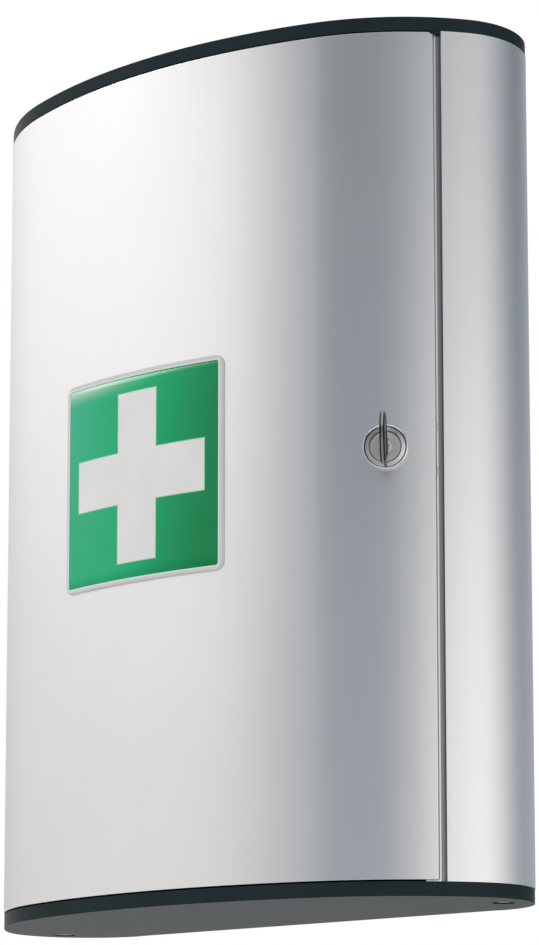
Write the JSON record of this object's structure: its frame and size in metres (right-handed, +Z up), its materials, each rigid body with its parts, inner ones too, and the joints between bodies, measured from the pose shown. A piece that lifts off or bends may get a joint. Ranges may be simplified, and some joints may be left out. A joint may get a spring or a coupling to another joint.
{
  "type": "wall cabinet",
  "caption": "Lockable wall medicine cabinet with a bowed wrap-round aluminium door, charcoal moulded end caps, a cylinder cam lock with key and a raised green cross sign.",
  "frame": {"origin": "centre of the four wall holes, on the rear face of the back panel", "axes": "+X to the viewer's right, +Y into the wall, +Z up; the front of the door faces -Y"},
  "size_m": [0.302, 0.1191, 0.4],
  "materials": {
    "cap_plastic": "fine moulded texture, charcoal",
    "frame_plastic": "fine moulded texture, dark charcoal",
    "door_aluminium": "satin anodised",
    "sheet_aluminium": "satin sheet",
    "rivet_aluminium": "dull",
    "zinc_steel": "zinc plated",
    "lock_chrome": "polished",
    "key_nickel": "nickel plated",
    "buffer_rubber": "matt black",
    "bush_nylon": "natural nylon",
    "sign_white": "gloss",
    "sign_green": "gloss"
  },
  "bodies": {
    "housing": {"top_cap": "cap_plastic", "bottom_cap": "cap_plastic", "back_panel": "sheet_aluminium", "side_profile": "door_aluminium", "panel_rivets": "rivet_aluminium", "lock_keeper": "frame_plastic", "keeper_rivets": "rivet_aluminium", "door_buffers": "buffer_rubber", "upper_shelf": "sheet_aluminium", "lower_shelf": "sheet_aluminium", "shelf_rivets": "rivet_aluminium", "cap_screws_top": "zinc_steel", "cap_screws_bottom": "zinc_steel", "hinge_pin_top": "zinc_steel", "hinge_pin_bottom": "zinc_steel"},
    "door": {"door_skin": "door_aluminium", "door_end_top": "frame_plastic", "door_end_bottom": "frame_plastic", "door_end_screws_top": "zinc_steel", "door_end_screws_bottom": "zinc_steel", "hinge_bush_top": "bush_nylon", "hinge_bush_bottom": "bush_nylon", "lock_housing": "lock_chrome", "lock_nut": "zinc_steel", "sign_plate": "sign_white", "sign_field": "sign_green", "sign_cross": "sign_white"},
    "lock_core": {"lock_plug": "lock_chrome", "lock_cam": "zinc_steel", "cam_screw": "zinc_steel"},
    "key": {"key": "key_nickel"}
  },
  "joints": [
    {"name": "door_hinge", "type": "hinge", "parent": "housing", "child": "door", "pos_m": [-0.1355, -0.0295, 0], "axis": [0, 0, -1], "range_deg": [0, 110]},
    {"name": "lock_turn", "type": "hinge", "parent": "door", "child": "lock_core", "pos_m": [0.11688, -0.08883, 0], "axis": [0.5807, -0.8141, 0], "range_deg": [0, 90]},
    {"name": "key_slide", "type": "slide", "parent": "lock_core", "child": "key", "axis": [0.5807, -0.8141, 0], "range_m": [0, 0.03]}
  ]
}
